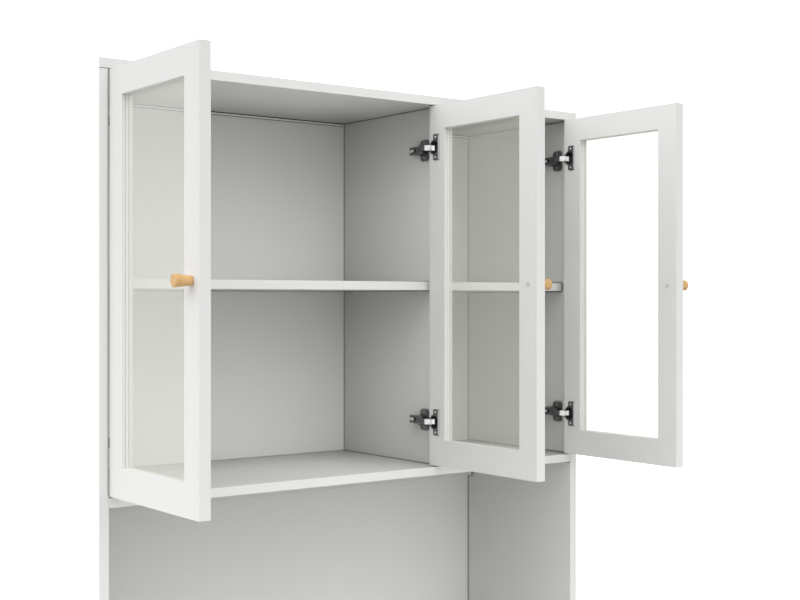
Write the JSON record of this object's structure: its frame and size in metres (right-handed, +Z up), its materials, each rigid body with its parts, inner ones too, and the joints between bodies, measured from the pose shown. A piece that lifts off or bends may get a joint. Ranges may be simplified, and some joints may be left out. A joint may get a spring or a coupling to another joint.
{
  "type": "bookcase",
  "caption": "White bookcase with inset glazed doors that stand open on dark concealed hinges, turned pale wood knobs, loose shelves on pins above an open bay and lower shelves",
  "frame": {"origin": "middle of the underside of the front plinth board, on the floor", "axes": "+Z up, -Y to the front where the doors open, +X to the right as seen from the front"},
  "size_m": [1.0242, 0.6809, 1.8],
  "materials": {
    "board": "white melamine faced board with a fine satin grain",
    "thin_board": "white lacquered thin fibreboard",
    "door_board": "white satin lacquer on fibreboard",
    "glass": "clear float glass",
    "pale_wood": "clear lacquered pale wood, turned",
    "dark_nickel": "dark nickel plated pressed steel",
    "bright_steel": "bright zinc plated steel"
  },
  "bodies": {
    "carcass": {"top_panel": "board", "side_panel_left": "board", "side_panel_right": "board", "divider": "board", "compartment_floor": "board", "bay_shelf": "board", "lower_shelf": "board", "bottom_panel": "board", "back_panel_upper": "thin_board", "back_panel_lower": "thin_board", "back_rail": "board", "plinth_front": "board", "plinth_rear": "board", "shelf_wide": "board", "shelf_narrow": "board", "pin_wide_front_left": "bright_steel", "pin_wide_front_right": "bright_steel", "pin_wide_back_left": "bright_steel", "pin_wide_back_right": "bright_steel", "pin_narrow_front_left": "bright_steel", "pin_narrow_front_right": "bright_steel", "pin_narrow_back_left": "bright_steel", "pin_narrow_back_right": "bright_steel", "hinge_arm_left_lower": "dark_nickel", "hinge_plate_left_lower": "dark_nickel", "hinge_arm_left_upper": "dark_nickel", "hinge_plate_left_upper": "dark_nickel", "hinge_arm_middle_lower": "dark_nickel", "hinge_plate_middle_lower": "dark_nickel", "hinge_arm_middle_upper": "dark_nickel", "hinge_plate_middle_upper": "dark_nickel", "hinge_arm_right_lower": "dark_nickel", "hinge_plate_right_lower": "dark_nickel", "hinge_arm_right_upper": "dark_nickel", "hinge_plate_right_upper": "dark_nickel"},
    "door_left": {"door_frame_left": "door_board", "door_glass_left": "glass", "knob_left": "pale_wood", "knob_screw_left": "bright_steel", "hinge_cup_left_lower": "dark_nickel", "hinge_cup_left_upper": "dark_nickel"},
    "links_left": {"hinge_link_left_lower": "bright_steel", "hinge_link_left_upper": "bright_steel"},
    "door_middle": {"door_frame_middle": "door_board", "door_glass_middle": "glass", "knob_middle": "pale_wood", "knob_screw_middle": "bright_steel", "hinge_cup_middle_lower": "dark_nickel", "hinge_cup_middle_upper": "dark_nickel"},
    "links_middle": {"hinge_link_middle_lower": "bright_steel", "hinge_link_middle_upper": "bright_steel"},
    "door_right": {"door_frame_right": "door_board", "door_glass_right": "glass", "knob_right": "pale_wood", "knob_screw_right": "bright_steel", "hinge_cup_right_lower": "dark_nickel", "hinge_cup_right_upper": "dark_nickel"},
    "links_right": {"hinge_link_right_lower": "bright_steel", "hinge_link_right_upper": "bright_steel"}
  },
  "joints": [
    {"name": "open_left", "type": "hinge", "parent": "carcass", "child": "door_left", "pos_m": [-0.48377, -0.00997, 1.44375], "axis": [0, 0, 1], "range_deg": [-3, 90]},
    {"name": "fold_left", "type": "hinge", "parent": "door_left", "child": "links_left", "pos_m": [-0.4632, -0.0174, 1.44375], "axis": [0, 0, 1], "range_deg": [-187.5, 6.5]},
    {"name": "open_middle", "type": "hinge", "parent": "carcass", "child": "door_middle", "pos_m": [0.15327, -0.00217, 1.44375], "axis": [0, 0, 1], "range_deg": [-90, 3]},
    {"name": "fold_middle", "type": "hinge", "parent": "door_middle", "child": "links_middle", "pos_m": [0.1405, -0.0021, 1.44375], "axis": [0, 0, 1], "range_deg": [-5.1, 144.2]},
    {"name": "open_right", "type": "hinge", "parent": "carcass", "child": "door_right", "pos_m": [0.48377, -0.00997, 1.44375], "axis": [0, 0, 1], "range_deg": [-90, 3]},
    {"name": "fold_right", "type": "hinge", "parent": "door_right", "child": "links_right", "pos_m": [0.4632, -0.0174, 1.44375], "axis": [0, 0, 1], "range_deg": [-6.5, 187.5]}
  ],
  "couplings": [
    {"joint": "fold_left", "follows": "open_left", "ratio": -2.0798},
    {"joint": "fold_middle", "follows": "open_middle", "ratio": -1.5994},
    {"joint": "fold_right", "follows": "open_right", "ratio": -2.0798}
  ]
}
